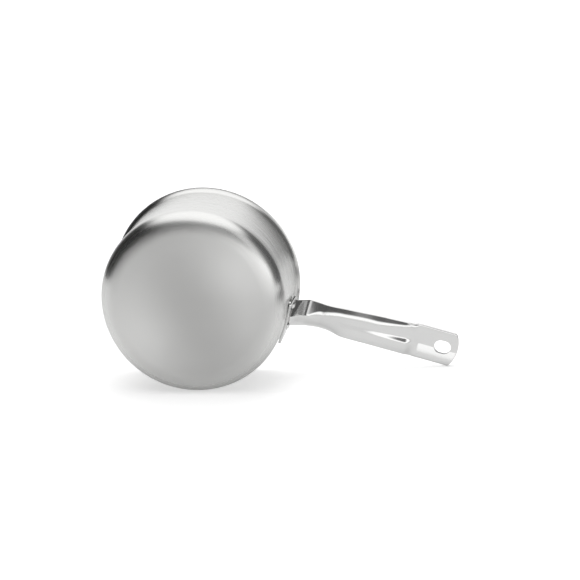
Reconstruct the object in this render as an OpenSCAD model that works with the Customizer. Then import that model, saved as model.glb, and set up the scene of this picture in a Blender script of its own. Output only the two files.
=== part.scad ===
// Saucepan: a drawn three-layer steel body with a fixed tube handle riveted to its wall.
// The pan stands upright, the handle points along +X, and the origin is the centre of the base's underside.

/* [Body] */
// Outside diameter over the turned-out rim
rim_d = 160; // [130:1:260]
// Height of the body
body_h = 80; // [70:1:160]
// Outside radius between the base and the wall
corner_r = 15; // [8:0.5:20]
// How far the rim is turned out past the wall
rim_flare = 3.5; // [1:0.1:5]
// Radius of the turned-out rim, outside
flare_r = 9; // [7:0.5:20]

/* [Sheet layers] */
// Thickness of the outer steel layer
outer_t = 0.5; // [0.4:0.1:1]
// Thickness of the aluminium layer
core_t = 1.6; // [1:0.1:3]
// Thickness of the inner steel layer
inner_t = 0.5; // [0.4:0.1:1]

/* [Saddle plate] */
// Thickness of the plate
plate_t = 2; // [1.5:0.1:3]
// Height of the plate along the wall
plate_h = 31; // [29:0.5:32]
// Distance from where the rim turns out down to the plate's upper edge
plate_drop = 6; // [3:0.5:7]
// Reach of the plate to the side where it ends beside the rivet
plate_near = 13; // [13:0.5:18]
// Reach of the plate to the other side
plate_far = 22; // [14:0.5:26]
// Radius of the plate's corners
plate_corner_r = 2; // [1:0.5:4]

/* [Rivets] */
// Diameter of the rivet's shank
shank_d = 4.8; // [3:0.1:5.5]
// Diameter of the domed outer head
head_d = 7; // [6.2:0.1:7]
// Height of the domed outer head
head_h = 2; // [1.2:0.1:2.8]
// Diameter of the flat inner head
inner_head_d = 9; // [7:0.1:12]
// Height of the flat inner head
inner_head_h = 1.2; // [0.8:0.1:2]
// Sideways distance of each rivet from the handle's middle plane
rivet_side = 9.5; // [9.5:0.1:10.5]
// Height of the rivets above the plate's lower edge
rivet_up = 15; // [12:0.5:16]

/* [Handle] */
// Length of the handle from the wall to the rounded end
handle_l = 144.5; // [120:0.5:200]
// Length of the curved neck next to the wall
neck_l = 27; // [24:0.5:32]
// Length of the flat tail, from the fold to the rounded end
tail_l = 38; // [34:0.5:60]
// Thickness of the tube's sheet
tube_t = 1.2; // [0.8:0.1:1.5]
// Distance from the rivets' outer heads up to the root's middle
root_gap = 5; // [4.7:0.1:6]
// Climb of the steep neck above the root's middle
neck_rise = 17.5; // [14:0.5:22]
// Climb of the grip from the neck to the flat tail's end
grip_rise = 12.5; // [6:0.5:20]
// Width of the tube where it meets the plate
root_w = 23.4; // [22:0.1:25]
// Height of the root above its middle
root_top = 6; // [5:0.5:6.5]
// Depth of the root below its middle
root_bottom = 15; // [13:0.5:16]
// Width of the tube's waist
waist_w = 22.6; // [18:0.1:26]
// Height of the tube's waist
waist_h = 17; // [13:0.5:20]
// Width of the grip
grip_w = 26.2; // [22:0.1:30]
// Height of the grip
grip_h = 13; // [10:0.5:16]
// Width of the flattened tail
tail_w = 29.5; // [26:0.1:34]
// Thickness of the flattened tail
tail_t = 4; // [3.4:0.1:5]
// Radius of the tail's rounded end, seen from above
tail_end_r = 25; // [18:0.5:40]
// Length of the hanging hole
hole_l = 14.5; // [12:0.5:18]
// Width of the hanging hole
hole_w = 11.5; // [8:0.5:11.5]
// Distance from the tail's end to the middle of the hanging hole
hole_back = 13.2; // [11.5:0.1:16]

/* [Weld] */
// Width of the weld bead round the root
weld_w = 1; // [0.8:0.1:1.2]

/* [Hidden] */
$fn = 180;

// Overrun of every cut past the surface it opens
cut = 2;
// Radial clearance of each rivet's shank in its hole
shank_fit = 0.05;
// Gap between the plate and the faces that are welded or seated on it
seat_gap = 0.03;

sheet_t = outer_t + core_t + inner_t;
wall_r = rim_d / 2 - rim_flare;
inside_r = wall_r - sheet_t;
plate_r = wall_r + plate_t;
flare_z = body_h - sqrt(flare_r * flare_r - pow(flare_r - rim_flare, 2));
plate_z = flare_z - plate_drop - plate_h;
rivet_z = plate_z + rivet_up;
rivet_turn = asin(rivet_side / plate_r);
root_z = rivet_z + head_d / 2 + root_gap;
grip_l = handle_l - neck_l - tail_l;

// Stations along the handle: four on the neck, three on the grip and three on the tail
neck_shares = [-0.12, 0.3, 0.57, 1];
grip_shares = [0.22, 0.58, 0.92];
tail_shares = [0, 0.11, 1.1];
station_x = [for (s = neck_shares) neck_l * s,
             for (s = grip_shares) neck_l + grip_l * s,
             for (s = tail_shares) handle_l - tail_l + tail_l * s];
// Height of the middle at each station, as shares of the neck's climb and of the grip's climb
neck_climb_shares = [-0.25, 0.3, 0.72, 0.97, 1, 1, 1, 1, 1, 1];
grip_climb_shares = [0, 0, 0, 0, 0.1, 0.32, 0.65, 0.73, 0.78, 1];
// Widths, heights above the middle and depths below it
station_w = [root_w, root_w, root_w, waist_w, (waist_w + grip_w) / 2, grip_w, (grip_w + tail_w) / 2, tail_w,
             tail_w, tail_w];
station_top = [root_top, (root_top + waist_h / 2) / 2, waist_h / 2, waist_h / 2, waist_h / 2, grip_h / 2,
               grip_h / 2, (grip_h / 2 + tail_t) / 3, tail_t / 2, tail_t / 2];
station_bottom = [root_bottom, (root_bottom + waist_h / 2) / 2, waist_h / 2, waist_h / 2, waist_h / 2, grip_h / 2,
                  grip_h / 2, (grip_h / 2 + tail_t) / 3, tail_t / 2, tail_t / 2];
// Roundness of the section at each station: less than 0.5 is scooped, 0.5 a diamond, 1 an ellipse, more is squarer
top_round_shares = [1.1, 1.05, 1, 1, 1, 1.1, 1.2, 1.7, 2.5, 2.5];
bottom_round_shares = [0.42, 0.55, 0.8, 1, 1, 1.1, 1.2, 1.7, 2.5, 2.5];
// Rings along the handle, the tube's inside and the weld bead, and sides of each ring
ring_count = 56;
side_count = 40;
inner_ring_count = 36;
inner_side_count = 24;
weld_ring_count = 10;

// Slope of a table between two stations
function slope(t, i) = (t[i + 1] - t[i]) / (station_x[i + 1] - station_x[i]);
// Slope of the smooth curve at a station: none at a turning point, so that the curve never overshoots
function bend(t, i) =
    i == 0 ? slope(t, 0) :
    i == len(t) - 1 ? slope(t, i - 1) :
    slope(t, i - 1) * slope(t, i) <= 0 ? 0 :
    2 * slope(t, i - 1) * slope(t, i) / (slope(t, i - 1) + slope(t, i));
// Station before a distance from the wall
function before(x, i = 0) = i >= len(station_x) - 2 || x < station_x[i + 1] ? i : before(x, i + 1);
// Value of a table at a distance from the wall, on a smooth curve through the stations
function along(t, x) =
    let (i = before(x), d = station_x[i + 1] - station_x[i], u = (x - station_x[i]) / d)
    t[i] * (1 + 2 * u) * (1 - u) * (1 - u) + bend(t, i) * d * u * (1 - u) * (1 - u)
    + t[i + 1] * u * u * (3 - 2 * u) + bend(t, i + 1) * d * u * u * (u - 1);
function middle_z(x) =
    root_z + neck_rise * along(neck_climb_shares, x) + grip_rise * along(grip_climb_shares, x);

// Sine or cosine made rounder or squarer
function rounded(v, share) = sign(v) * pow(abs(v), 1 / share);
// Ring of points round the handle at a distance from the wall; grow moves the outline in or out
function ring(x, grow, sides) =
    let (w = along(station_w, x) / 2 + grow, top = along(station_top, x) + grow,
         bottom = along(station_bottom, x) + grow,
         tr = along(top_round_shares, x), br = along(bottom_round_shares, x))
    [for (j = [0 : sides - 1])
        let (a = 360 * j / sides, r = sin(a) >= 0 ? tr : br, h = sin(a) >= 0 ? top : bottom)
        [wall_r + x, w * rounded(cos(a), r), middle_z(x) + h * rounded(sin(a), r)]];
first_x = station_x[0];
last_x = station_x[len(station_x) - 1];

// Solid swept through the rings from one distance to another
module sweep(grow, from, to, count, sides) {
    rows = [for (i = [0 : count]) ring(from + (to - from) * i / count, grow, sides)];
    ends = [for (x = [from, to]) [wall_r + x, 0, middle_z(x)]];
    walls = [for (i = [0 : count - 1], j = [0 : sides - 1])
        let (a = i * sides + j, b = i * sides + (j + 1) % sides)
        each [[a, a + sides, b], [b, a + sides, b + sides]]];
    tip = (count + 1) * sides;
    caps = [for (j = [0 : sides - 1])
        let (k = (j + 1) % sides)
        each [[tip, j, k], [tip + 1, count * sides + k, count * sides + j]]];
    polyhedron(points = concat([for (r = rows) each r], ends), faces = concat(walls, caps));
}

// Half section of the pan's outside, moved in by the thickness of the layers outside it
module blank(inset) {
    difference() {
        union() {
            translate([0, corner_r]) square([wall_r - inset, body_h + cut - corner_r]);
            translate([0, inset]) square([wall_r - corner_r, corner_r - inset]);
            intersection() {
                translate([wall_r - corner_r, corner_r]) circle(corner_r - inset);
                translate([0, inset]) square([wall_r, corner_r - inset]);
            }
            translate([wall_r - inset, flare_z]) square([rim_flare + inset, body_h + cut - flare_z]);
        }
        translate([wall_r + flare_r, flare_z]) circle(flare_r + inset);
    }
}

// One layer of the sheet between two depths from the outside
module layer(from, to) {
    difference() {
        rotate_extrude() intersection() {
            difference() {
                blank(from);
                blank(to);
            }
            square([rim_d / 2, body_h]);
        }
        rivet_holes();
    }
}

module at_rivets() {
    for (side = [-1, 1])
        rotate([0, 0, side * rivet_turn]) translate([0, 0, rivet_z]) rotate([0, 90, 0]) children();
}

module rivet_holes() {
    at_rivets() translate([0, 0, inside_r - cut])
        cylinder(h = sheet_t + plate_t + 2 * cut, d = shank_d + 2 * shank_fit);
}

module outer_steel_shell() color("silver") layer(0, outer_t);

module aluminium_core() color("lightgrey") layer(outer_t, outer_t + core_t);

module inner_steel_shell() color("gainsboro") layer(outer_t + core_t, sheet_t);

// Outline of the plate as seen along the handle: sideways, then up
module plate_outline() {
    for (y = [plate_corner_r - plate_near, plate_far - plate_corner_r])
        for (z = [plate_corner_r, plate_h - plate_corner_r])
            translate([y, z]) circle(plate_corner_r);
    translate([-plate_near, plate_corner_r]) square([plate_near + plate_far, plate_h - 2 * plate_corner_r]);
    translate([plate_corner_r - plate_near, 0]) square([plate_near + plate_far - 2 * plate_corner_r, plate_h]);
}

module saddle_plate() color("darkgrey") difference() {
    intersection() {
        translate([0, 0, plate_z]) rotate([90, 0, 90]) linear_extrude(plate_r) plate_outline();
        cylinder(h = body_h, r = plate_r);
    }
    translate([0, 0, -cut]) cylinder(h = body_h + 2 * cut, r = wall_r);
    rivet_holes();
}

// Domed head: a slice of a sphere
module dome(d, h) {
    ball_r = (d * d / 4 + h * h) / (2 * h);
    intersection() {
        translate([0, 0, h - ball_r]) sphere(ball_r);
        cylinder(h = h, d = d);
    }
}

module rivets() color("whitesmoke") at_rivets() {
    inner_seat = sqrt(inside_r * inside_r - inner_head_d * inner_head_d / 4) - seat_gap;
    translate([0, 0, inner_seat]) cylinder(h = plate_r - inner_seat, d = shank_d);
    translate([0, 0, plate_r]) dome(head_d, head_h);
    translate([0, 0, inner_seat]) mirror([0, 0, 1]) dome(inner_head_d, inner_head_h);
}

// Everything inside the plate's outer face, which the root of the tube stops at
module plate_face(gap) translate([0, 0, -cut]) cylinder(h = body_h + 2 * cut, r = plate_r + gap);

// Rounded end of the tail, seen from above
module tail_cut() {
    end_x = wall_r + handle_l;
    translate([0, 0, -cut]) linear_extrude(root_z + neck_rise + grip_rise + root_top + 2 * cut) union() {
        translate([end_x - tail_end_r, 0]) circle(tail_end_r);
        translate([0, -tail_w]) square([end_x - tail_end_r, 2 * tail_w]);
    }
}

module hanging_hole() {
    slot = (hole_l - hole_w) / 2;
    translate([wall_r + handle_l - hole_back, 0, root_z]) {
        for (x = [-slot, slot]) translate([x, 0, 0]) cylinder(h = neck_rise + grip_rise + root_top, d = hole_w);
        translate([-slot, -hole_w / 2, 0]) cube([2 * slot, hole_w, neck_rise + grip_rise + root_top]);
    }
}

module handle_tube() color("gainsboro") difference() {
    intersection() {
        sweep(0, first_x, last_x, ring_count, side_count);
        tail_cut();
    }
    sweep(-tube_t, 2 * first_x, last_x + cut, inner_ring_count, inner_side_count);
    plate_face(seat_gap);
    hanging_hole();
}

// Collar of weld metal round the root of the tube, on the face of the plate
module weld_bead() color("darkgrey") difference() {
    intersection() {
        sweep(weld_w, 2 * first_x, station_x[2], weld_ring_count, inner_side_count);
        plate_face(weld_w);
    }
    sweep(seat_gap, first_x, last_x, ring_count, side_count);
    plate_face(seat_gap);
    at_rivets() cylinder(h = plate_r + head_h + cut, d = head_d + 2 * seat_gap);
}

outer_steel_shell();
aluminium_core();
inner_steel_shell();
saddle_plate();
rivets();
handle_tube();
weld_bead();
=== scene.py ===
# %% [markdown]
# # A saucepan lying on its side
# The pan stands upright in its own frame, with its base at the origin and its handle along +X.
# The photograph shows it tipped over, seen from below, so here the camera and the floor are
# turned round the pan instead of the pan itself. First the packed model comes in as the fixed
# frame. It tells where each piece belongs.

# %% Load the packed model
import math
import bpy
import bmesh
from mathutils import Matrix, Vector


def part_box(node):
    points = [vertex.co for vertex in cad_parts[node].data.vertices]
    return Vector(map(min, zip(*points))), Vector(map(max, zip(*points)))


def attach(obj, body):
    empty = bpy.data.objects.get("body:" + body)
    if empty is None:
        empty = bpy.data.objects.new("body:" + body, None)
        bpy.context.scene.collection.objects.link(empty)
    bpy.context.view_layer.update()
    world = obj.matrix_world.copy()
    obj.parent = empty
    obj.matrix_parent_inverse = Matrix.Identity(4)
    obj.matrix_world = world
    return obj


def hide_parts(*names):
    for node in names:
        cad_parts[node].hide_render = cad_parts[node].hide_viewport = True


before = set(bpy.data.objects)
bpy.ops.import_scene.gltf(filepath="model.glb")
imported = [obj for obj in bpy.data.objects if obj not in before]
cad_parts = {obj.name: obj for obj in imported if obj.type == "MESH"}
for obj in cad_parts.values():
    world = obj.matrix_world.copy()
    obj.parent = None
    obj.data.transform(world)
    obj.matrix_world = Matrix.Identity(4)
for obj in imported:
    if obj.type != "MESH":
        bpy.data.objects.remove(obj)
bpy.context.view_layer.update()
print("CAD nodes:", sorted(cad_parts))

# %% [markdown]
# ## The sizes of the real pan
# Every mesh below is made in millimetres, as a pan maker would draw it, and scaled to metres
# when it becomes an object. The rim, the height and the plate's edges are read from the frame,
# so the new skins can't drift away from the solids they stand for. What a box can't tell is
# written here: how far the rim turns out, how deep each layer lies, and how thick the plate is.

# %% Read the sizes that the frame gives
MM = 0.001
shell_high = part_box("outer_steel_shell")[1]
tube_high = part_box("handle_tube")[1]
plate_low, plate_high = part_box("saddle_plate")
rim_r = round(shell_high[1] / MM)
body_h = round(shell_high[2] / MM)
plate_z, plate_top = plate_low[2] / MM, plate_high[2] / MM
plate_near, plate_far = round(-plate_low[1] / MM), round(plate_high[1] / MM)
rim_flare = 3.5
layers = {"outer": (0.0, 0.5), "core": (0.5, 2.1), "inner": (2.1, 2.6)}
plate_t = 2.0
wall_r = rim_r - rim_flare
plate_r = wall_r + plate_t
print(f"rim radius {rim_r} mm, wall radius {wall_r} mm, height {body_h} mm")
print(f"plate {plate_z:.1f} to {plate_top:.1f} mm up, reaching {plate_near} and {plate_far} mm")

# %% [markdown]
# ## The camera
# A long lens flattens the pan, as product photographers like it. The three turns below carry
# the pan from its own frame into the picture: round its axis until the handle points right,
# then a lean and a swing that let the wall show above and to the right of the base. Blender's
# camera looks along its own -Z with Y up, so the last step flips those two axes. Placing the
# camera by a matrix keeps these turns readable, where three angles of an object wouldn't.

# %% Make the camera
photo_px = 580
focal_px = 3031.0
handle_turn, lean, swing = math.radians(17.5), math.radians(16.17), math.radians(8.92)
pan_from_camera = (-0.0823, 0.0127, 2.5)  # metres right, down and ahead
camera_data = bpy.data.cameras.new("photo_camera")
camera_data.sensor_width = 36.0
camera_data.lens = camera_data.sensor_width * focal_px / photo_px
camera_data.clip_start, camera_data.clip_end = 0.1, 30.0
camera = bpy.data.objects.new("photo_camera", camera_data)
bpy.context.scene.collection.objects.link(camera)
bpy.context.scene.camera = camera
bpy.context.scene.view_settings.view_transform = "Standard"
to_camera = (
    Matrix.Diagonal((1, -1, -1, 1))
    @ Matrix.Translation(pan_from_camera)
    @ Matrix.Rotation(swing, 4, "Y")
    @ Matrix.Rotation(lean, 4, "X")
    @ Matrix.Rotation(handle_turn, 4, "Z")
)
camera.matrix_world = to_camera.inverted()
camera_spot = camera.matrix_world.translation.copy()
print(f"lens {camera_data.lens:.1f} mm, camera at", [round(v, 3) for v in camera_spot])

# %% [markdown]
# ## Which way is up in the studio
# The pan lies on three points: its rim, the rounded corner of its base and one corner of the
# handle's tail. A flat floor touches all three, so those points give the floor. Its upward
# direction, the direction towards the camera along the floor, and the one to the camera's
# right together name every direction in the studio by a bearing and a height in degrees.

# %% Work out the floor and the studio's directions
resting_side = math.radians(72.15)  # bearing of the lowest side of the rim, from the handle
tip = -0.0354  # the floor isn't quite parallel to the pan's axis
flat = math.sqrt(1 - tip * tip)
floor_normal = -Vector((flat * math.cos(resting_side), flat * math.sin(resting_side), tip))
floor_distance = (rim_r * flat + body_h * tip) * MM
camera_way = camera_spot.normalized()
front = (camera_way - camera_way.dot(floor_normal) * floor_normal).normalized()
right = floor_normal.cross(front)


def studio(azimuth, height):
    """Direction at a bearing to the camera's right and a height over the floor, in degrees."""
    a, h = math.radians(azimuth), math.radians(height)
    return math.cos(h) * (math.cos(a) * front + math.sin(a) * right) + math.sin(h) * floor_normal


camera_height = math.degrees(math.asin(camera_way.dot(floor_normal)))
print("up", [round(v, 3) for v in floor_normal], "front", [round(v, 3) for v in front])
print(f"camera is {camera_height:.1f} degrees above the floor")

# %% [markdown]
# ## Writing shaders as sums
# A material can be wired by hand, but a node tree is easier to read as a formula. A Wire holds
# one socket, and each operator on it adds the Math node of the same name, so `1 - mask` really
# builds a Subtract node. Colours and directions stay out of Math nodes, which would turn them
# grey: a direction goes through `dot`, and only its plain number comes back.

# %% A socket that can be used in a sum
class Wire:
    """One output socket of a node tree."""

    def __init__(self, graph, socket):
        self.graph, self.socket = graph, socket

    def math(self, operation, *values):
        return self.graph.node("ShaderNodeMath", {"operation": operation}, dict(enumerate(values)))

    def __add__(self, other):
        return self.math("ADD", self, other)

    def __sub__(self, other):
        return self.math("SUBTRACT", self, other)

    def __mul__(self, other):
        return self.math("MULTIPLY", self, other)

    def __truediv__(self, other):
        return self.math("DIVIDE", self, other)

    def __rsub__(self, other):
        return self.math("SUBTRACT", other, self)

    def __rtruediv__(self, other):
        return self.math("DIVIDE", other, self)

    __radd__ = __add__
    __rmul__ = __mul__

    def size(self):
        return self.math("ABSOLUTE", self)

    def root(self):
        return self.math("SQRT", self)

    def most(self, other):
        return self.math("MAXIMUM", self, other)

    def dot(self, vector):
        settings = {"operation": "DOT_PRODUCT"}
        return self.graph.node("ShaderNodeVectorMath", settings, {0: self, 1: vector}, "Value")

    def step(self, start, end, low=0.0, high=1.0):
        """Goes smoothly from low at start to high at end."""
        settings = {"interpolation_type": "SMOOTHSTEP"}
        values = {0: self, 1: start, 2: end, 3: low, 4: high}
        return self.graph.node("ShaderNodeMapRange", settings, values)


print("named steps on a wire:", [name for name in vars(Wire) if not name.startswith("_")])

# %% [markdown]
# ## One method for every node
# Blender has dozens of node types, and a helper for each would be a second manual to learn. So
# a single method, `node`, makes any of them: it sets the node's own options first, because
# they decide which sockets exist, and then fills or links the sockets. The few short methods
# below it only save writing for the nodes that nearly every steel finish uses.

# %% A node tree that hands out wires
class Graph:
    """The node tree of a material or of the world, emptied first."""

    def __init__(self, owner):
        owner.use_nodes = True
        self.tree = owner.node_tree
        self.tree.nodes.clear()

    def node(self, kind, settings=None, inputs=None, output=0):
        made = self.tree.nodes.new(kind)
        for name, value in (settings or {}).items():
            setattr(made, name, value)
        for key, value in (inputs or {}).items():
            socket = made.inputs[key]
            if isinstance(value, Wire):
                self.tree.links.new(value.socket, socket)
            else:
                socket.default_value = value
        return Wire(self, made.outputs[output]) if made.outputs else made

    def blend(self, factor, first, second):
        """Colour between two colours."""
        inputs = {0: factor, 6: first, 7: second}
        return self.node("ShaderNodeMix", {"data_type": "RGBA"}, inputs, 2)

    def joined(self, x, y, z):
        return self.node("ShaderNodeCombineXYZ", {}, {0: x, 1: y, 2: z})

    def parts(self, vector):
        """The x, y and z of a vector."""
        first = self.node("ShaderNodeSeparateXYZ", {}, {0: vector})
        return [Wire(self, socket) for socket in first.socket.node.outputs]

    def noise(self, vector, scale=1.0, detail=2.0):
        inputs = {"Vector": vector, "Scale": scale, "Detail": detail}
        return self.node("ShaderNodeTexNoise", {}, inputs)


def grey(value):
    """The same value in red, green and blue."""
    return (value, value, value, 1.0)


print("helpers for shader sums are ready")

# %% [markdown]
# ## What stands round the pan
# Steel has hardly any colour of its own: what it shows is the room. The photographer's room
# can be read from the pan: a large soft lamp overhead, a white backdrop behind, a bright card
# to the right of the camera, and unlit space to the left of it. Real cards could be modelled
# and lit, but a list of soft-edged rectangles in the sky is quicker to render and to change.

# %% List the lamp, the backdrop and the dark places
# Each line: bearing, height, half width, half height, softness (all degrees), brightness.
# Bearing 0 is towards the camera and 90 is to its right. A later line covers an earlier one.
room_grey = 0.10
cards = [
    (136, 10, 18, 60, 12, 0.30),  # a dim gap beside the backdrop
    (185, 20, 34, 70, 22, 1.15),  # the backdrop
    (-85, 20, 62, 34, 14, 0.03),  # unlit space to the left
    (41, 28, 15, 20, 10, 0.85),  # the upper part of the card by the camera
    (22, 3, 34, 15, 10, 1.5),  # its lower, brighter part
    (108, 16, 22, 34, 16, 0.10),  # dark space to the right
]
overhead_from, overhead_full, overhead_light = 42, 60, 1.4
print(len(cards), "cards in the room, and a lamp from", overhead_from, "degrees up")

# %% [markdown]
# ## Painting the room on the sky
# Every card is a mask on the sky: the angle away from its middle, sideways and upwards, fades
# from inside to outside. The masks cover one another on a dim grey, and the overhead lamp
# comes last. This only reaches the pan by reflection and as soft light. The camera itself sees
# plain white, which Light Path's Is Camera Ray picks out.

# %% Paint the room
def room_light(graph, direction):
    """Brightness of the room in a direction."""
    light = room_grey
    for azimuth, height, half_w, half_h, soft, brightness in cards:
        side, top = studio(azimuth + 90, 0), studio(azimuth, height + 90)
        ahead = direction.dot(studio(azimuth, height))
        mask = 1.0
        for way, half in ((side, half_w), (top, half_h)):
            angle = ahead.math("ARCTAN2", direction.dot(way), ahead).size()
            inside, outside = math.radians(half - soft / 2), math.radians(half + soft / 2)
            mask = angle.step(inside, outside, 1.0, 0.0) * mask
        light = light * (1 - mask) + mask * brightness
    up = direction.dot(floor_normal)
    edges = [math.sin(math.radians(height)) for height in (overhead_from, overhead_full)]
    over = up.step(*edges)
    return light * (1 - over) + over * overhead_light


world = bpy.data.worlds.new("studio_room")
bpy.context.scene.world = world
graph = Graph(world)
sky_way = graph.node("ShaderNodeTexCoord", {}, {}, "Generated")
seen_directly = graph.node("ShaderNodeLightPath", {}, {}, "Is Camera Ray")
room_strength = room_light(graph, sky_way)
room = graph.node("ShaderNodeBackground", {}, {"Color": grey(1.0), "Strength": room_strength})
white = graph.node("ShaderNodeBackground", {}, {"Color": grey(1.0), "Strength": 1.0})
both = graph.node("ShaderNodeMixShader", {}, {0: seen_directly, 1: room, 2: white})
graph.node("ShaderNodeOutputWorld", {}, {"Surface": both})
print("the room takes", len(world.node_tree.nodes), "nodes")

# %% [markdown]
# ## The floor
# A wide disc touches the pan where it lies. A plane would do as well, but a disc looks the
# same from every side. It faces up, along the floor's normal.

# %% Lay the floor
floor_r, floor_gap = 4.0, 0.0002  # metres
turning = floor_normal.to_track_quat("Z", "Y").to_matrix().to_4x4()
floor_mesh = bpy.data.meshes.new("floor")
builder = bmesh.new()
bmesh.ops.create_circle(builder, cap_ends=True, segments=96, radius=floor_r)
builder.to_mesh(floor_mesh)
builder.free()
floor = bpy.data.objects.new("floor", floor_mesh)
floor.matrix_world = Matrix.Translation(-floor_normal * (floor_distance + floor_gap)) @ turning
bpy.context.scene.collection.objects.link(floor)
if (turning.to_3x3() @ floor_mesh.polygons[0].normal).dot(floor_normal) < 0:
    floor_mesh.flip_normals()
print("floor is", round(floor_distance / MM, 1), "mm from the pan's axis")

# %% [markdown]
# ## The paper on the floor
# The floor only shows its upper side: from the other side it lets the camera through, so that
# pictures of the pan's back aren't blocked. Seen by the camera it is lifted to paper white, and
# the shadow under the pan stays. In the steel it is lifted by painted light instead: a faint
# glow close to the pan and a brighter one far in front of it. To the right, a painted dark
# patch shows in the steel's reflections instead of the paper. More light on the floor would
# also whiten it, but it would burn out the pan.

# %% Make the paper
# the second grey is a painted dark patch that only the steel's reflections show
paper_grey, painted_dark_grey = 0.72, 0.12
# the last two lifts are painted light: glows that only the steel's reflections show
lift_for_camera, painted_glow_near_pan, painted_glow_far_ahead = 0.50, 0.22, 0.85
near_reach, far_reach = (0.04, 0.34), (0.34, 0.48)  # metres ahead of the pan
lift_bearing = 20  # ahead of the pan means this many degrees to the camera's right
paper_edge, edge_slant = (0.24, 0.50), (0.35, 0.90)  # metres to the right, behind over beside

paper = bpy.data.materials.new("paper_with_painted_glow")
graph = Graph(paper)
by_camera = graph.node("ShaderNodeLightPath", {}, {}, "Is Camera Ray")
in_steel = graph.node("ShaderNodeLightPath", {}, {}, "Is Glossy Ray")
spot = graph.node("ShaderNodeNewGeometry", {}, {}, "Position")
beside, behind = spot.dot(studio(90, 0)), spot.dot(studio(180, 0))
slant = behind / beside.most(0.01)
# painted shade: to the right of the pan the floor turns dark, in the steel's reflections only
painted_dark_patch = in_steel * beside.step(*paper_edge) * slant.step(*edge_slant, 1.0, 0.0)
paper_colour = graph.blend(painted_dark_patch, grey(paper_grey), grey(painted_dark_grey))
lit = graph.node("ShaderNodeBsdfDiffuse", {}, {"Color": paper_colour})
ahead = spot.dot(studio(lift_bearing, 0))
# painted light: the floor glows near the pan and far in front of it, in the steel only
painted_glow_in_steel = ahead.step(*near_reach, painted_glow_near_pan, 0.0)
painted_glow_in_steel = painted_glow_in_steel + ahead.step(*far_reach, 0.0, painted_glow_far_ahead)
lift = by_camera * lift_for_camera + in_steel * painted_glow_in_steel
glow = graph.node("ShaderNodeEmission", {}, {"Color": grey(1.0), "Strength": lift})
front_side = graph.node("ShaderNodeAddShader", {}, {0: lit, 1: glow})
from_below = graph.node("ShaderNodeNewGeometry", {}, {}, "Backfacing")
clear = graph.node("ShaderNodeBsdfTransparent")
shown = graph.node("ShaderNodeMixShader", {}, {0: from_below, 1: front_side, 2: clear})
graph.node("ShaderNodeOutputMaterial", {}, {"Surface": shown})
floor_mesh.materials.append(paper)
print("paper grey", paper_grey, "and", lift_for_camera, "of lift for the camera")

# %% [markdown]
# ## One lamp above
# The world alone gives a shadow that is too faint, so one large lamp hangs over the pan, a
# little behind it. It is a disc, because its soft round edge gives the shadow no corners. It is
# hidden from reflections, because the room's own overhead card already shows there.

# %% Hang the lamp
lamp_distance, lamp_width, lamp_watts = 1.6, 1.2, 6.0
lamp_bearing, lamp_height = 160, 78
lamp_data = bpy.data.lights.new("overhead_lamp", "AREA")
lamp_data.shape, lamp_data.size = "DISK", lamp_width
lamp_data.energy = lamp_watts
lamp = bpy.data.objects.new("overhead_lamp", lamp_data)
lamp_way = studio(lamp_bearing, lamp_height)
lamp_turn = lamp_way.to_track_quat("Z", "Y").to_matrix().to_4x4()
lamp.matrix_world = Matrix.Translation(lamp_way * lamp_distance) @ lamp_turn
lamp.visible_glossy = False
lamp.visible_camera = False
bpy.context.scene.collection.objects.link(lamp)
print("lamp at", [round(v, 2) for v in lamp.location])

# %% [markdown]
# ## Making meshes from rows of points
# Drawn, spun and pressed metal is all skin: rows of points joined by four-sided faces. One
# helper turns rows into an object, closed round or along as asked. It takes millimetres and
# marks edges sharper than some angle, so that soft shading never runs across a real edge. It
# also says which node of the packed model the new piece stands for, so none is forgotten.

# %% Helpers for skins
def soften(mesh, sharp):
    """Smooth shading, except across edges sharper than that many degrees."""
    mesh.polygons.foreach_set("use_smooth", [True] * len(mesh.polygons))
    mesh.set_sharp_from_angle(angle=math.radians(sharp))


def to_object(name, points, faces, node_names, material=None, sharp=35.0):
    """Object from points in millimetres. It rides on the pan and stands for those CAD nodes."""
    mesh = bpy.data.meshes.new(name)
    mesh.from_pydata([(x * MM, y * MM, z * MM) for x, y, z in points], [], faces)
    mesh.validate()
    cleaner = bmesh.new()
    cleaner.from_mesh(mesh)
    bmesh.ops.remove_doubles(cleaner, verts=cleaner.verts, dist=1e-7)
    bmesh.ops.recalc_face_normals(cleaner, faces=cleaner.faces)
    cleaner.to_mesh(mesh)
    cleaner.free()
    made = bpy.data.objects.new(name, mesh)
    bpy.context.scene.collection.objects.link(made)
    soften(mesh, sharp)
    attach(made, "root")
    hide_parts(*node_names)
    if material:
        mesh.materials.append(material)
    return made


def skin(rows, round_rows=True, closed=False):
    """Faces between rows of equally many points. Rows may be rings, and may close on the first."""
    count, around = len(rows), len(rows[0])
    points = [p for row in rows for p in row]
    faces = []
    for i in range(count if closed else count - 1):
        k = (i + 1) % count
        for j in range(around if round_rows else around - 1):
            m = (j + 1) % around
            faces.append((i * around + j, i * around + m, k * around + m, k * around + j))
    return points, faces


print("helpers for skins are ready")

# %% [markdown]
# ## Brushed steel
# The body is brushed on a lathe: thousands of hair-fine rings run round the axis, across the
# base and up the wall alike. An image of scratches could be wrapped round it, but it would
# show a seam and blur up close. So fine noise that only changes across the rings colours,
# roughens and dents the steel. The rings smear a reflection across themselves, which the
# anisotropic shader shows. Right at the axis they would draw a bow tie, and the real base shows
# none, so a plain shader takes over in the middle. There the base's colour is also darkened
# towards the axis: painted shade for the dimmer reflection in its middle.

# %% Brush the steel
hair_rings, band_rings, cloud_rings = 2600.0, 260.0, 30.0  # noise cells per metre
hair_rough, band_rough, cloud_rough = 0.10, 0.06, 0.05
hair_shade, band_shade, cloud_shade = 0.22, 0.18, 0.10
plain_middle = (0.004, 0.046)  # metres from the axis, from no anisotropy to all of it
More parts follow.
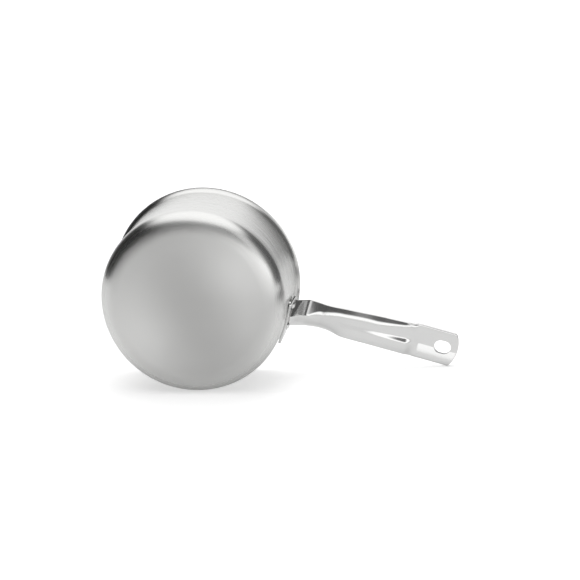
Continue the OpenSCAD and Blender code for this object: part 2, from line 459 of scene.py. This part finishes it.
# painted shade: the base's colour is darkened this much at its middle and this much at its edge
painted_shade_reach, painted_shade_middle, painted_shade_edge = (0.004, 0.052), 0.28, 0.06
base_edge_z, least_radius = 0.004, 0.0005


def lathe_place(graph):
    """Distance from the axis, height, and a ring coordinate that has no seam."""
    x, y, z = graph.parts(graph.node("ShaderNodeTexCoord", {}, {}, "Object"))
    radius = (x * x + y * y).root()
    safe = radius.most(least_radius)
    return radius, z, x / safe, y / safe


def two_tints(tint, darkest, lightest):
    """A darker and a lighter version of a tint, for noise to choose between."""
    dark = tuple(darkest * v for v in tint) + (1.0,)
    light = tuple(min(1.0, lightest * v) for v in tint) + (1.0,)
    return dark, light


def brushed_steel(name, tint, base_rough, wall_rough, anisotropy=0.75):
    """Lathe-brushed steel whose flat base may be rougher than its wall, with painted shade at its
    middle.
    """
    material = bpy.data.materials.new(name)
    graph = Graph(material)
    radius, height, cosine, sine = lathe_place(graph)
    travel = radius + height

    def rings(turn, cells, detail):
        """Noise that changes fast across the rings and slowly round them."""
        return graph.noise(graph.joined(cosine * turn, sine * turn, travel * cells), detail=detail)

    hair = rings(1.3, hair_rings, 3.0)
    bands = rings(0.7, band_rings, 2.0)
    cloud = rings(1.8, cloud_rings, 3.0)
    on_base = height.step(0.0, base_edge_z, 1.0, 0.0)
    rough = wall_rough + on_base * (base_rough - wall_rough)
    rough = rough + (hair - 0.5) * hair_rough + (bands - 0.5) * band_rough
    rough = rough + (cloud - 0.5) * cloud_rough
    shade = 0.5 + (hair - 0.5) * hair_shade + (bands - 0.5) * band_shade
    shade = shade + (cloud - 0.5) * cloud_shade
    dark, light = two_tints(tint, 0.955, 1.045)
    dents = {"Strength": 0.05, "Distance": 0.0002, "Height": hair * 0.7 + bands * 0.3}
    bump = graph.node("ShaderNodeBump", {}, dents)
    tangent = graph.node("ShaderNodeTangent", {"direction_type": "RADIAL", "axis": "Z"})
    # painted shade: the base's colour goes darker towards its middle
    painted_base_shade = on_base * radius.step(*painted_shade_reach, painted_shade_middle, painted_shade_edge)
    colour = graph.blend(painted_base_shade, graph.blend(shade, dark, light), grey(0.0))
    both = {"Base Color": colour, "Metallic": 1.0, "Roughness": rough, "Normal": bump}
    ringed = {"Anisotropic": anisotropy, "Anisotropic Rotation": 0.25, "Tangent": tangent}
    middle = graph.node("ShaderNodeBsdfPrincipled", {}, both)
    outer = graph.node("ShaderNodeBsdfPrincipled", {}, both | ringed)
    share = radius.step(*plain_middle)
    steel = graph.node("ShaderNodeMixShader", {}, {0: share, 1: middle, 2: outer})
    graph.node("ShaderNodeOutputMaterial", {}, {"Surface": steel})
    return material


outer_steel = brushed_steel("outer_steel", (0.70, 0.70, 0.69), 0.42, 0.27)
inner_steel = brushed_steel("inner_steel", (0.76, 0.76, 0.75), 0.38, 0.34)
core_metal = brushed_steel("core_aluminium", (0.80, 0.80, 0.81), 0.45, 0.45, 0.3)
print("brushed:", [m.name for m in (outer_steel, inner_steel, core_metal)])

# %% [markdown]
# ## Polished steel
# The handle, its plate and the rivets are polished: they mirror the room almost sharply. A
# perfect mirror would look like chrome, so faint buffing lines along X, a slightly cloudy
# tint and a small grain in the roughness break it up. The weld keeps a duller, wavy skin, as
# steel has that froze from drops.

# %% Polish the steel
buff_scale = (60.0, 900.0, 900.0)  # long along X, fine across it
buff_dent, tint_cloud = 0.03, 0.5


def polished_steel(name, tint, rough, grain=0.03, wave=0.0):
    """Polished sheet with faint buffing lines along X and a slight unevenness."""
    material = bpy.data.materials.new(name)
    graph = Graph(material)
    place = graph.node("ShaderNodeTexCoord", {}, {}, "Object")
    stretched = graph.node("ShaderNodeMapping", {}, {"Vector": place, "Scale": buff_scale})
    buff = graph.noise(stretched, detail=3.0)
    cloud = graph.noise(place, scale=90.0, detail=3.0)
    swell = graph.noise(place, scale=70.0, detail=1.0)
    shade = 0.5 + (cloud - 0.5) * tint_cloud
    dark, light = two_tints(tint, 0.96, 1.03)
    dents = {"Strength": 0.3, "Distance": 0.0003, "Height": buff * buff_dent + swell * wave}
    surface = {
        "Base Color": graph.blend(shade, dark, light),
        "Metallic": 1.0,
        "Roughness": rough + (buff - 0.5) * grain + (cloud - 0.5) * grain,
        "Normal": graph.node("ShaderNodeBump", {}, dents),
    }
    steel = graph.node("ShaderNodeBsdfPrincipled", {}, surface)
    graph.node("ShaderNodeOutputMaterial", {}, {"Surface": steel})
    return material


handle_steel = polished_steel("handle_steel", (0.72, 0.72, 0.715), 0.17)
plate_steel = polished_steel("plate_steel", (0.66, 0.66, 0.655), 0.2, 0.06)
rivet_steel = polished_steel("rivet_steel", (0.78, 0.78, 0.775), 0.12)
weld_steel = polished_steel("weld_steel", (0.62, 0.61, 0.60), 0.3, 0.12, 0.5)
print("polished:", [m.name for m in (handle_steel, plate_steel, rivet_steel, weld_steel)])

# %% [markdown]
# ## The wall isn't quite straight
# A drawn pan looks like a cylinder, but its reflections tell more. Just above the corner the
# wall bellies out by about a millimetre, further up it draws in by less than one, and some way
# below the rim it begins to lean out. A Lattice could bend a plain cylinder so, but a radius
# for each height is exact and can be used again where the rivets need the wall's inner face.

# %% The radius of the wall at each height
belly, belly_from, belly_end = 1.2, 17.0, 37.0
waist_dip, waist_at = 0.7, 52.0
lean_from, curl_from, curl_tilt = 62.0, 75.0, math.radians(7.0)


def part_way(height, start, end):
    return min(1.0, max(0.0, (height - start) / (end - start)))


def wall_tilt(height):
    """How far the wall leans out, in radians. It starts to lean some way below the rim."""
    return curl_tilt * part_way(height, lean_from, curl_from)


def wall_radius(height):
    """Outer radius of the wall below the curl of the rim."""
    share, dip = part_way(height, belly_from, belly_end), part_way(height, belly_end, waist_at)
    radius = wall_r + belly * (0.5 + 0.5 * math.cos(math.pi * share))
    radius -= waist_dip * (0.5 - 0.5 * math.cos(math.pi * dip))
    return radius + max(0.0, height - lean_from) * wall_tilt(height) / 2


print("wall radius, mm:", [(z, round(wall_radius(z), 2)) for z in (10, 30, 52, 75)])

# %% [markdown]
# ## The outline from the base to the rim
# The outline is flat under the base, rolls up through a corner that is a little wider than it
# is high, follows the wall, and turns out in one arc that ends level at the rim. Every layer
# of the sheet has this outline at its own depth. The curl could be a Bezier curve, but an arc
# through two known points keeps the sheet evenly thick all the way.

# %% The outline of the body at a depth below its outer face
corner_wide, corner_high, corner_steps, curl_steps = 18.0, 15.0, 32, 24
base_radii = (0.0, 6.0, 15.0, 30.0, 45.0, 54.0, 58.0)


def body_outline(depth):
    """Points (radius, height) from the axis to the rim, moved in by the depth."""
    line = [(r, depth) for r in base_radii]
    for k in range(corner_steps + 1):
        a = math.radians(90.0 * k / corner_steps)
        r = wall_radius(0) - corner_wide + corner_wide * math.sin(a)
        z = corner_high - corner_high * math.cos(a)
        nr, nz = math.sin(a) / corner_wide, -math.cos(a) / corner_high
        size = math.hypot(nr, nz)
        line.append((r - depth * nr / size, z - depth * nz / size))
    for z in range(round(belly_from), round(curl_from), 2):
        tilt = wall_tilt(z)
        line.append((wall_radius(z) - depth * math.cos(tilt), z + depth * math.sin(tilt)))
    out, up = rim_r - wall_radius(curl_from), body_h - curl_from
    last_tilt = 2 * math.atan(out / up) - curl_tilt
    bend = math.hypot(out, up) / (2 * math.sin((last_tilt - curl_tilt) / 2))
    centre_r = wall_radius(curl_from) + bend * math.cos(curl_tilt)
    centre_z = curl_from - bend * math.sin(curl_tilt)
    end = math.asin((body_h - centre_z) / (bend + depth))
    for k in range(curl_steps + 1):
        a = curl_tilt + (end - curl_tilt) * k / curl_steps
        r, z = centre_r - (bend + depth) * math.cos(a), centre_z + (bend + depth) * math.sin(a)
        line.append((r, z))
    return line


print("outline at the outer face:", len(body_outline(0.0)), "points")

# %% [markdown]
# ## The body's three layers
# The pan is drawn from one disc of three bonded sheets: steel, aluminium, steel. Each layer
# becomes its own closed skin, spun round the axis from the outline at two depths, so that the
# thin bright core shows at the rim between the steels. A Screw modifier spins an outline too,
# but a lathe in code lets the rings crowd where the steel bends.

# %% Spin the three layers
rim_edge, rim_edge_in = 0.12, 0.35  # rounding of a layer's edge, and how much of it goes inwards


def spin(line, segments=192):
    """Rings of an outline round the axis."""
    turns = [2 * math.pi * j / segments for j in range(segments)]
    return [[(r * math.cos(turn), r * math.sin(turn), z) for turn in turns] for r, z in line]


def shell(name, depths, node, material):
    """One closed layer of the sheet. Its two edges at the rim are slightly rounded."""
    outside, inside = body_outline(depths[0]), body_outline(depths[1])
    (r0, z0), (r1, z1) = outside[-1], inside[-1]
    outside[-1] = (r0 - rim_edge_in * rim_edge, z0 - rim_edge)
    inside[-1] = (r1 + rim_edge_in * rim_edge, z1 - rim_edge)
    line = outside + [(r0 - rim_edge, z0), (r1 + rim_edge, z1)] + inside[::-1]
    points, faces = skin(spin(line))
    return to_object(name, points, faces, [node], material)


outer_shell = shell("outer_shell", layers["outer"], "outer_steel_shell", outer_steel)
core_shell = shell("core_layer", layers["core"], "aluminium_core", core_metal)
inner_shell = shell("inner_shell", layers["inner"], "inner_steel_shell", inner_steel)
for piece in (outer_shell, core_shell, inner_shell):
    print(piece.name, len(piece.data.polygons), "faces")

# %% [markdown]
# ## The saddle plate
# A strip of thick sheet carries the handle. In the photograph it is bent less than the wall,
# so its ends stand off and a thin dark gap shows under them. It is made as a grid whose end
# columns shorten to round its corners, and the columns crowd there. A Solidify modifier gives
# it the sheet's thickness and a Bevel takes the burr off its edges, as tumbling does.

# %% Bend and thicken the plate
plate_bend_r, plate_corner, plate_burr = 345.0, 2.0, 0.45
plate_gap, burr_angle = 0.02, 50
even_part, crowded_part = 0.35, 0.65  # how the columns are shared out


def plate_face(side):
    """How far out the plate's outer face is, at a distance from the handle's middle."""
    return plate_r - side ** 2 / (2 * plate_bend_r)


def plate_rows(columns=64, rows=20):
    """Columns of points on the outer face, from the near end to the far end."""
    grid = []
    for i in range(columns + 1):
        share = i / columns
        crowded = 0.5 - 0.5 * math.cos(math.pi * share)
        travel = even_part * share + crowded_part * crowded
        side = -plate_near + (plate_near + plate_far) * travel
        from_end = min(side + plate_near, plate_far - side)
        cut = 0.0
        if from_end < plate_corner:
            cut = plate_corner - math.sqrt(plate_corner ** 2 - (plate_corner - from_end) ** 2)
        low, high = plate_z + cut, plate_top - cut
        x = plate_face(side)
        grid.append([(x, side, low + (high - low) * k / rows) for k in range(rows + 1)])
    return grid


points, faces = skin(plate_rows(), round_rows=False)
plate = to_object("handle_plate", points, faces, ["saddle_plate"], plate_steel)
if plate.data.polygons[0].normal.x < 0:
    plate.data.flip_normals()
thick = plate.modifiers.new("thickness", "SOLIDIFY")
thick.thickness, thick.offset = (plate_t - plate_gap) * MM, -1.0
burr = plate.modifiers.new("tumbled_edge", "BEVEL")
burr.width, burr.segments = plate_burr * MM, 3
burr.limit_method, burr.angle_limit = "ANGLE", math.radians(burr_angle)
print("plate spans", [round(v / MM, 1) for v in plate.dimensions])

# %% [markdown]
# ## The rivets
# Each rivet is one solid: a domed head outside, a shank through plate and wall, and a broad,
# nearly flat head inside. Two squashed spheres would look similar from afar, but the real
# head meets the plate in a sharp line. So the outline of half a rivet is spun round its own
# axis. The plate is flatter than the wall, so each head is turned to the face it lies on, and
# the shank between them, which nobody sees, takes up the small angle.

# %% Spin and place the rivets
rivet_side, rivet_up, rivet_gap = 9.5, 15.0, 0.03
shank_r, head_r, head_h, inner_head_r, inner_head_h = 2.4, 3.5, 2.0, 4.5, 1.2
head_edge, dome_from = 0.12, 0.14  # the soft edge, and the lowest that the dome itself goes
rivet_z = plate_z + rivet_up
inside_r = wall_radius(rivet_z) - layers["inner"][1]
inner_seat = math.sqrt(inside_r ** 2 - inner_head_r ** 2) - rivet_gap


def dome(radius, height, steps=12):
    """Points (radius, height) of a domed head from its edge to its crown, with a soft edge."""
    ball = (radius ** 2 + height ** 2) / (2 * height)
    edge = math.asin(radius / ball)
    line = [(radius - head_edge, 0.0), (radius, head_edge)]
    for k in range(1, steps + 1):
        a = edge * (1 - k / steps)
        line.append((ball * math.sin(a), max(height - ball + ball * math.cos(a), dome_from)))
    return line


def rivet_object(name, side):
    """One rivet. Its inner head faces the wall and its outer head faces the flatter plate."""
    inner = [(r, inner_seat - z) for r, z in dome(inner_head_r, inner_head_h)][::-1]
    inner += [(shank_r, inner_seat)]
    outer = [(shank_r, 0.0)] + dome(head_r, head_h)
    outward = Matrix.Rotation(math.pi / 2, 4, "Y")
    to_wall = Matrix.Rotation(side * math.asin(rivet_side / plate_r), 4, "Z")
    to_wall = to_wall @ Matrix.Translation((0, 0, rivet_z)) @ outward
    plate_turn = Matrix.Rotation(side * math.atan(rivet_side / plate_bend_r), 4, "Z")
    to_plate = Matrix.Translation((plate_face(rivet_side), side * rivet_side, rivet_z))
    to_plate = to_plate @ plate_turn @ outward
    rings = [[tuple(to_wall @ Vector(p)) for p in ring] for ring in spin(inner, 64)]
    rings += [[tuple(to_plate @ Vector(p)) for p in ring] for ring in spin(outer, 64)]
    points, faces = skin(rings)
    return to_object(name, points, faces, ["rivets"], rivet_steel)


rivets = [rivet_object("rivet_near", -1), rivet_object("rivet_far", 1)]
print("rivets at", [[round(v / MM, 1) for v in r.bound_box[0]] for r in rivets])

# %% [markdown]
# ## The handle's shape along its length
# The handle starts as a steel tube and is pressed: pinched to a keel between the rivets,
# rounded at the waist, flattened along the grip and squeezed flat at the tail. Ten stations
# along it carry a width, a height above and below the middle, and how round the section is. A
# smooth curve runs through each table, so every ring between the stations is known too. It
# never swings past a station's value, as an ordinary spline would, and so leaves no dents.

# %% Tables and curves of the handle
handle_l, neck_l, tail_l, tube_t = tube_high[0] / MM - wall_r, 27.0, 38.0, 1.2
grip_l = handle_l - neck_l - tail_l
root_gap, neck_rise, grip_rise = 5.0, 17.5, 12.5
root_z = rivet_z + head_r + root_gap
station_x = [neck_l * s for s in (-0.12, 0.3, 0.57, 1.0)]
station_x += [neck_l + grip_l * s for s in (0.22, 0.58, 0.92)]
station_x += [handle_l - tail_l + tail_l * s for s in (0.0, 0.11, 1.1)]
neck_climb = [-0.25, 0.3, 0.72, 0.97, 1, 1, 1, 1, 1, 1]
grip_climb = [0, 0, 0, 0, 0.1, 0.32, 0.65, 0.73, 0.78, 1]
widths = [23.4, 23.4, 23.4, 22.6, 24.4, 26.2, 27.85, 29.5, 29.5, 29.5]
above = [6.0, 7.25, 8.5, 8.5, 8.5, 6.5, 6.5, 3.5, 2.0, 2.0]
below = [15.0, 11.75, 8.5, 8.5, 8.5, 6.5, 6.5, 3.5, 2.0, 2.0]
top_round = [1.1, 1.05, 1, 1, 1, 1.1, 1.2, 1.7, 2.5, 2.5]
bottom_round = [0.42, 0.55, 0.8, 1, 1, 1.1, 1.2, 1.7, 2.5, 2.5]


def slope(table, i):
    return (table[i + 1] - table[i]) / (station_x[i + 1] - station_x[i])


def bend_at(table, i):
    """Slope of the smooth curve at a station."""
    if i == 0 or i == len(table) - 1:
        return slope(table, min(i, len(table) - 2))
    a, b = slope(table, i - 1), slope(table, i)
    return 0.0 if a * b <= 0 else 2 * a * b / (a + b)


def along(table, x):
    """Value of a table at a distance from the wall."""
    i = max(k for k in range(len(station_x) - 1) if k == 0 or x >= station_x[k])
    d = station_x[i + 1] - station_x[i]
    u = (x - station_x[i]) / d
    return (
        table[i] * (1 + 2 * u) * (1 - u) ** 2
        + bend_at(table, i) * d * u * (1 - u) ** 2
        + table[i + 1] * u * u * (3 - 2 * u)
        + bend_at(table, i + 1) * d * u * u * (u - 1)
    )


def middle_z(x):
    return root_z + neck_rise * along(neck_climb, x) + grip_rise * along(grip_climb, x)


print(f"handle {handle_l:.1f} mm long")
print(f"its middle climbs from {middle_z(2):.1f} to {middle_z(handle_l):.1f} mm")

# %% [markdown]
# ## The pressed underside
# The press leaves more than an oval. Along the near side the underside slopes up to the edge,
# and that slope mirrors the dark room as one long band, which thins out towards the tail. A
# crease runs down the grip, and the flat tail is dished into two shallow slopes. Sculpting
# could do this by eye, but a height for each distance from the middle keeps it even from ring
# to ring, which a mirror-bright surface needs.

# %% The underside of the grip and of the tail
near_start = [7.5, 7.0, 2.5, -1.2, -4.2, -5.0, -10.0, -12.0, -13.0, -13.0]
near_run = [3.0, 3.0, 4.0, 6.3, 5.2, 5.0, 2.5, 2.0, 2.0, 2.0]
near_steepness = [0.66, 0.66, 0.62, 0.53, 0.50, 0.50, 0.50, 0.50, 0.50, 0.50]
crease_height = [0.0, 0.0, 0.0, 0.05, 0.30, 0.85, 2.0, 2.0, 2.0, 2.0]
crease_from, crease_to = -1.2, 4.2
far_height, far_start, far_run = 1.3, 7.0, 6.1
hollow_depth, hollow_middle, hollow_reach, hollow_slope = 0.8, 1.5, 15.5, 0.21


def ease(value, start, end):
    """Goes smoothly from 0 at start to 1 at end."""
    share = min(1.0, max(0.0, (value - start) / (end - start)))
    return share * share * (3 - 2 * share)


def near_rise(side, x):
    """Rise of the underside towards its near edge. The slope starts gently, then stays even."""
    run, steepness = along(near_run, x), along(near_steepness, x)
    past = max(0.0, along(near_start, x) - side)
    return steepness * past * past / (2 * run) if past < run else steepness * (past - run / 2)


def far_rise(side):
    """Rise of the underside towards its far edge."""
    return far_height * max(0.0, (side - far_start) / far_run) ** 2


def crease(side, x):
    """Everything on the near side of the crease lies higher than the strip beyond it."""
    return along(crease_height, x) * (1 - ease(side, crease_from, crease_to))


def tail_hollow(side):
    """How far the flat tail's underside is dished. It is pressed into two shallow slopes."""
    if side < hollow_middle:
        return hollow_depth * (1 - ((side - hollow_middle) / hollow_reach) ** 2)
    return hollow_depth - hollow_slope * (side - hollow_middle)


print("near edge rises", [round(near_rise(-13, x), 2) for x in (10, 20, 60)], "mm")
print("crease is", round(crease(-5, 95), 2), "mm high at the end of the grip")

# %% [markdown]
# ## One section of the handle
# A section starts as an ellipse, made squarer or more pointed by a power, and its lower half
# then takes the pressed underside where the tables say so. Its points are spread evenly by
# length, because a mirror-bright surface shows every uneven step. Last, each point becomes the
# mean of its neighbours, which wears the edges round as polishing does.

# %% Draw one section
ring_sides, outline_steps, worn_over = 192, 1440, range(-3, 4)
near_in, near_out = (3.0, 9.0), (96.0, 110.0)
far_in, far_out = (32.0, 48.0), (101.0, 108.0)
dish_in = (105.0, 110.0)


def mixed(first, second, share):
    return first + (second - first) * share


def evenly(line, count):
    """That many points, equally far apart, along a closed line."""
    travel = [0.0]
    for p, q in zip(line, line[1:] + line[:1]):
        travel.append(travel[-1] + math.dist(p, q))
    made, k = [], 0
    for j in range(count):
        goal = travel[-1] * j / count
        while travel[k + 1] < goal:
            k += 1
        t = (goal - travel[k]) / max(1e-9, travel[k + 1] - travel[k])
        p, q = line[k], line[(k + 1) % len(line)]
        made.append((p[0] + (q[0] - p[0]) * t, p[1] + (q[1] - p[1]) * t))
    return made


def section(x, grow):
    """Evenly spaced points (side, height over the middle) round the handle."""
    w = along(widths, x) / 2 + grow
    tall, deep = along(above, x) + grow, along(below, x) + grow
    top_power, bottom_power = 1 / along(top_round, x), 1 / along(bottom_round, x)
    near_share = ease(x, *near_in) * (1 - ease(x, *near_out))
    far_share = ease(x, *far_in) * (1 - ease(x, *far_out))
    dished = ease(x, *dish_in)

    def underside(side, fullness):
        """Height of the underside. Fullness is 1 in a plain tube's middle and 0 at its edges."""
        up = (dished * tail_hollow(side) - deep) * fullness
        step = far_share * crease(side, x)
        if side < 0:
            return mixed(up, near_rise(side, x) - deep, near_share) + step
        near_up = up + near_share * near_rise(side, x)
        return mixed(near_up, far_rise(side) - deep, far_share) + step

    near_edge, far_edge = underside(-w, 0.0), underside(w, 0.0)
    middle_up = (near_edge + far_edge) / 2
    line = []
    for j in range(outline_steps):
        a = 2 * math.pi * j / outline_steps
        c, s = math.cos(a), math.sin(a)
        power = top_power if s >= 0 else bottom_power
        t, fullness = math.copysign(abs(c) ** power, c), abs(s) ** power
        if s >= 0:
            up = mixed(near_edge, far_edge, 0.5 + 0.5 * t) + (tall - middle_up) * fullness
        else:
            up = underside(w * t, fullness)
        line.append((w * t, up))
    line = evenly(line, 3 * ring_sides)
    worn = []
    for j in range(0, len(line), 3):
        near = [line[(j + k) % len(line)] for k in worn_over]
        worn.append((sum(p[0] for p in near) / len(near), sum(p[1] for p in near) / len(near)))
    return worn


print("a section of the grip spans", round(max(side for side, up in section(60.0, 0.0)), 2), "mm")

# %% [markdown]
# ## Setting the sections along the handle
# Most sections stand straight across the handle. At the root they would cut into the plate,
# so they bend to its face, and at the tail they follow its rounded end. Both changes fade over
# a few millimetres. Cutting straight ends with a Boolean would also fit them, but it would
# leave long thin faces that a polished surface shows.

# %% Shape the two ends
tail_end_r, root_blend, tail_blend, root_seat = 25.0, 6.0, 7.0, 0.03


def start_x(side):
    """How far the plate's outer face is from the wall, at a distance from the handle's middle."""
    return plate_face(side) + root_seat - wall_r


def end_x(side):
    return handle_l - tail_end_r + math.sqrt(tail_end_r ** 2 - side ** 2)


def handle_ring(x, grow):
    """Points of the ring that crosses the middle at x."""
    first, blend, tail = start_x(0.0), start_x(0.0) + root_blend, handle_l - tail_blend
    ring = []
    for side, up in section(x, grow):
        px = x
        if x < blend:
            px = blend + (x - blend) * (blend - start_x(side)) / (blend - first)
        if x > tail:
            px = tail + (x - tail) * (end_x(side) - tail) / (handle_l - tail)
        ring.append((wall_r + px, side, middle_z(px) + up))
    return ring


print(f"handle starts {start_x(0.0):.2f} mm from the wall, its corners end at {end_x(14.0):.1f} mm")

# %% [markdown]
# ## The tube's outer and inner face
# The handle is a hollow tube, and the hole in its tail lets one look between its walls. So the
# rings run out along the outer face, round the trimmed edge of the tail, and back along the
# inner face, as one closed skin. A Solidify modifier would be shorter, but it goes wrong where
# the tail is squeezed nearly flat.

# %% Sweep the outer and inner face of the tube
trim = 0.3  # rounding of the tail's edge
trim_step = 0.3 * trim


def sweep_places(count=190):
    first, last = start_x(0.0), handle_l
    return [first + (last - first) * i / count for i in range(count + 1)]


places = sweep_places()
rows = [handle_ring(x, 0.0) for x in places[:-1]]
rows += [handle_ring(handle_l - trim, 0.0), handle_ring(handle_l - trim_step, -trim_step)]
rows += [handle_ring(handle_l, -trim)]
rows += [handle_ring(handle_l, trim - tube_t), handle_ring(handle_l - trim, -tube_t)]
# The inner face is hardly seen, so it takes only every third ring.
rows += [handle_ring(x, -tube_t) for x in places[-4::-3]]
rows += [handle_ring(places[0], -tube_t)]
points, faces = skin(rows, closed=True)
handle = to_object("tube_handle", points, faces, ["handle_tube"], None, 30.0)
print(len(points), "points on the handle's skin")

# %% [markdown]
# ## The hanging hole
# The hole is punched after the tail is pressed flat, so it goes straight through both walls. A
# Boolean modifier does the same: it subtracts a slot-shaped punch, and the result is kept as
# the handle's mesh. Leaving a gap in the skin would need hand-made faces round a curve.

# %% Punch the hole
hole_l, hole_w, hole_back, hole_sides = 14.5, 11.5, 13.2, 96
punch_levels = (70.0, 110.0)
hole_x = wall_r + handle_l - hole_back
offset = (hole_l - hole_w) / 2
loop = []
for j in range(hole_sides):
    a = 2 * math.pi * (j + 0.5) / hole_sides
    x = hole_x + math.copysign(offset, math.cos(a)) + hole_w / 2 * math.cos(a)
    loop.append((x, hole_w / 2 * math.sin(a)))
lids = [tuple(range(hole_sides - 1, -1, -1)), tuple(range(hole_sides, 2 * hole_sides))]
after = [(j + 1) % hole_sides for j in range(hole_sides)]
sides = [(j, after[j], hole_sides + after[j], hole_sides + j) for j in range(hole_sides)]
punch_mesh = bpy.data.meshes.new("punch")
corners = [(x * MM, y * MM, z * MM) for z in punch_levels for x, y in loop]
punch_mesh.from_pydata(corners, [], lids + sides)
punch = bpy.data.objects.new("punch", punch_mesh)
bpy.context.scene.collection.objects.link(punch)
cutter = handle.modifiers.new("hanging_hole", "BOOLEAN")
cutter.operation, cutter.solver, cutter.object = "DIFFERENCE", "EXACT", punch
bpy.context.view_layer.update()
shape = handle.evaluated_get(bpy.context.evaluated_depsgraph_get())
pressed = bpy.data.meshes.new_from_object(shape)
handle.modifiers.clear()
handle.data = pressed
bpy.data.objects.remove(punch)
pressed.materials.clear()
pressed.materials.append(handle_steel)
soften(pressed, 30.0)
print("handle has", len(pressed.polygons), "faces after punching")

# %% [markdown]
# ## The weld bead
# The tube is welded to the plate all round its root. The bead is a thin rope along that seam,
# thicker and thinner in small steps where each drop of metal froze. A curve with a round bevel
# would give an even rope, so the rings are set one by one and their size ripples.

# %% Lay the bead
bead_t, bead_grow, bead_out = 0.5, 0.12, 0.08
ripple, swell = (0.16, 0.9), (0.06, 0.37)  # share of the thickness, turn for each step


def bead_rows(steps=240, around=12):
    """Small rings along the seam between the tube and the plate."""
    ring = section(start_x(0.0), bead_grow)
    path = []
    for j in range(steps):
        at = j * len(ring) / steps
        p, q = ring[int(at)], ring[(int(at) + 1) % len(ring)]
        side = p[0] + (q[0] - p[0]) * (at % 1)
        up = p[1] + (q[1] - p[1]) * (at % 1)
        x = start_x(side)
        path.append(Vector((wall_r + x + bead_out, side, middle_z(x) + up)))
    rows = []
    turns = [2 * math.pi * k / around for k in range(around)]
    for j, spot in enumerate(path):
        ahead = (path[(j + 1) % steps] - path[j - 1]).normalized()
        outward = Vector((spot.x, spot.y, 0)).normalized()
        beside = ahead.cross(outward).normalized()
        r = 1 + ripple[0] * math.sin(j * ripple[1]) + swell[0] * math.sin(j * swell[1])
        r = bead_t * r
        ways = [math.cos(turn) * beside + math.sin(turn) * outward for turn in turns]
        rows.append([tuple(spot + r * way) for way in ways])
    return rows


points, faces = skin(bead_rows(), closed=True)
bead = to_object("weld_seam", points, faces, ["weld_bead"], weld_steel, 80.0)
print("bead round the root:", len(bead.data.polygons), "faces")

# %% [markdown]
# ## The size
# The dressed pan should be as big as the solids, to half a millimetre.
